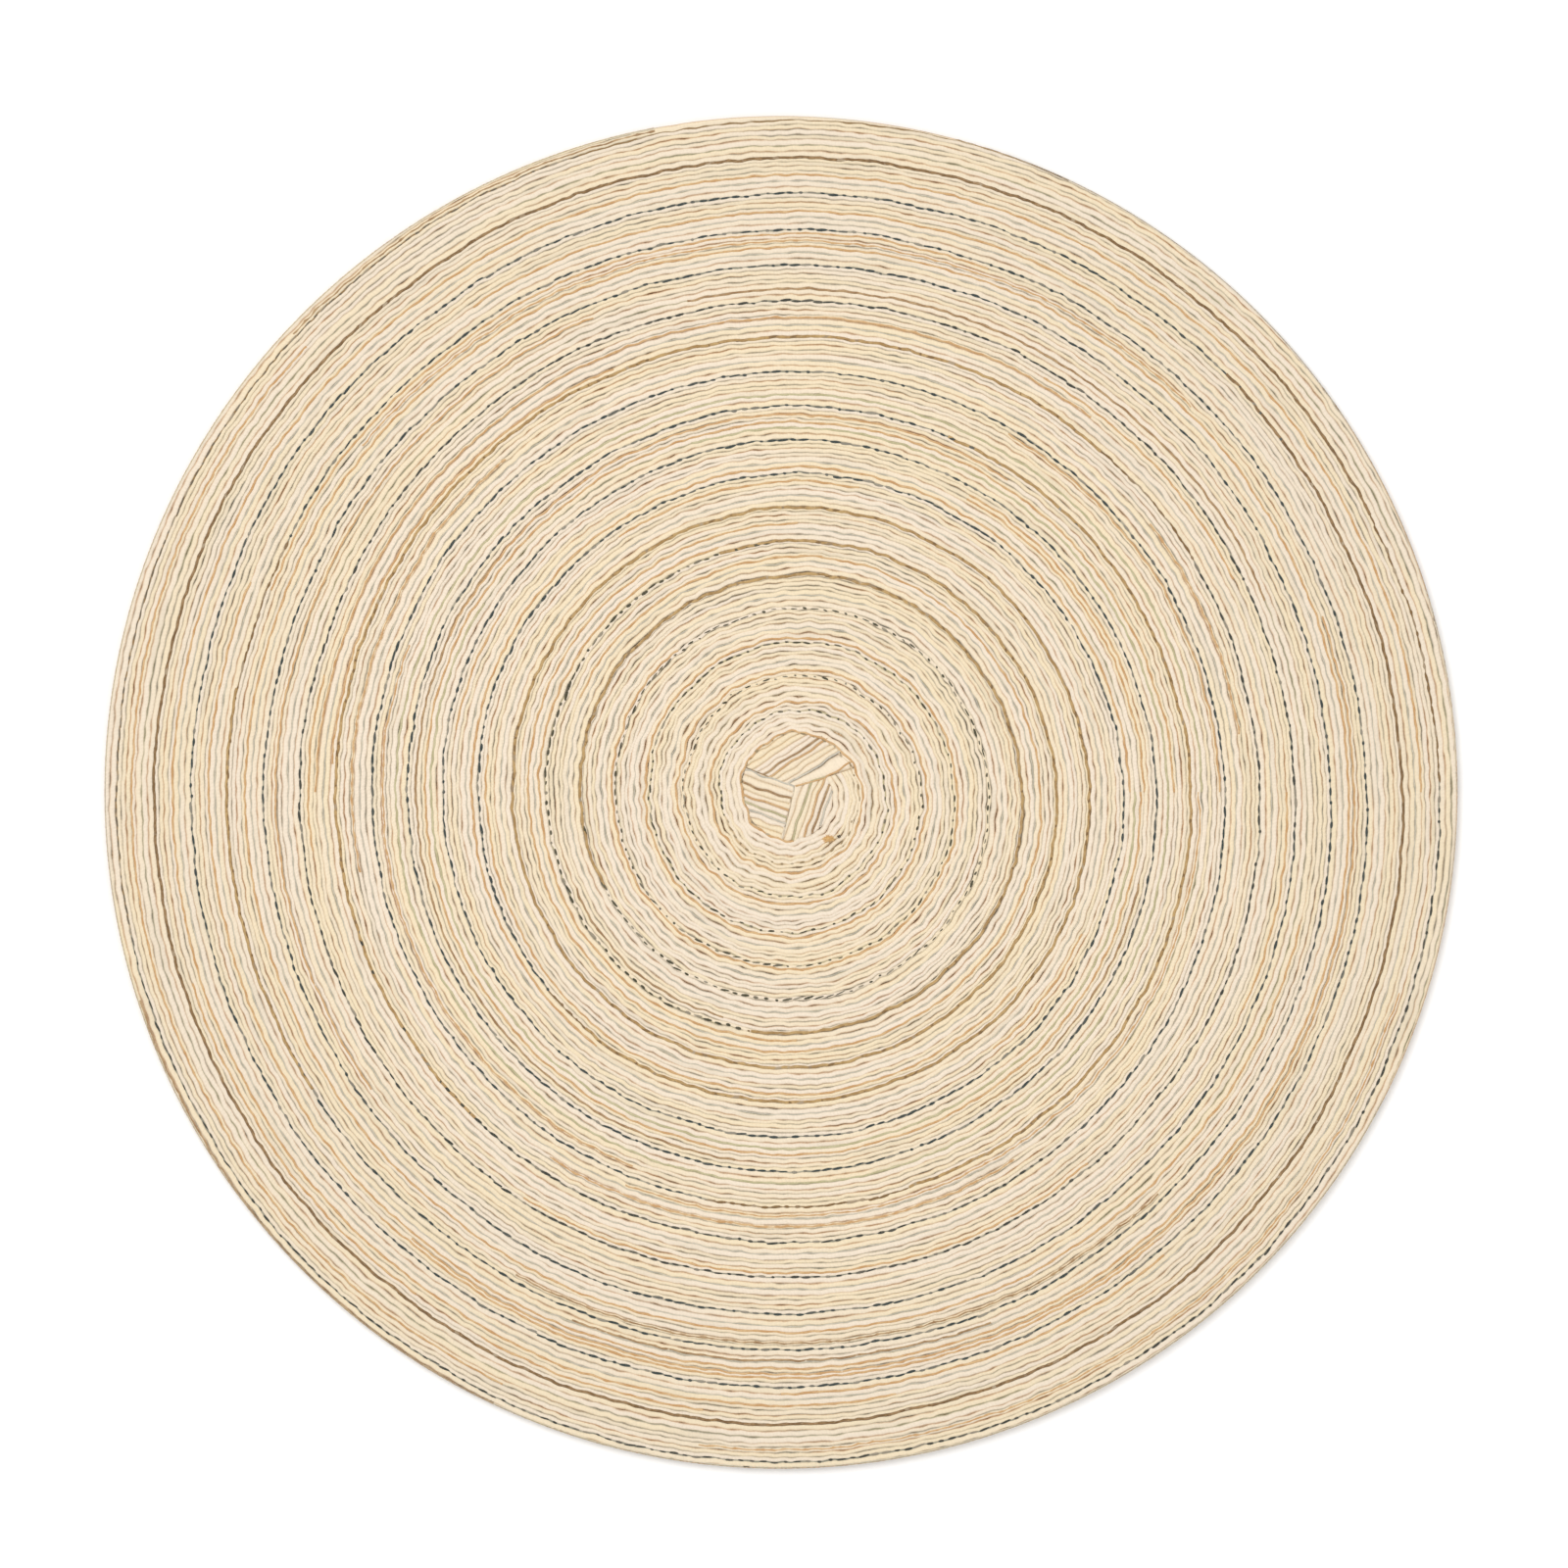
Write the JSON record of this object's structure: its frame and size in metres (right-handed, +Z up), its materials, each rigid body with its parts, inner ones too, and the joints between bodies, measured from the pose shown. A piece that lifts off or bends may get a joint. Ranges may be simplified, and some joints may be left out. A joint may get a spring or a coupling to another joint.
{
  "type": "round wound placemat",
  "caption": "Flat round table mat: a ribbed cotton tape folded at the middle, wound in a spiral and sewn edge to edge with a dark thread.",
  "frame": {"origin": "middle of the round outline, on the underside", "axes": "+Z up through the mat's thickness; the tape's first section starts 18 degrees anticlockwise from +X"},
  "size_m": [0.38, 0.38, 0.0042],
  "materials": {
    "cream_cotton": "matt ribbed cotton tape",
    "folded_cotton": "matt ribbed cotton tape",
    "joining_thread": "matt spun thread, olive to teal to brown",
    "tan_yarn": "matt spun yarn",
    "orange_yarn": "matt spun yarn"
  },
  "bodies": {
    "root": {"wound_tape": "cream_cotton", "folded_leg_right": "folded_cotton", "folded_leg_left": "folded_cotton", "folded_leg_top": "folded_cotton", "joining_thread": "joining_thread", "tan_yarn_inner": "tan_yarn", "tan_yarn_middle": "tan_yarn", "tan_yarn_outer": "tan_yarn", "tan_yarn_rim": "tan_yarn", "start_knot": "orange_yarn"}
  },
  "joints": []
}
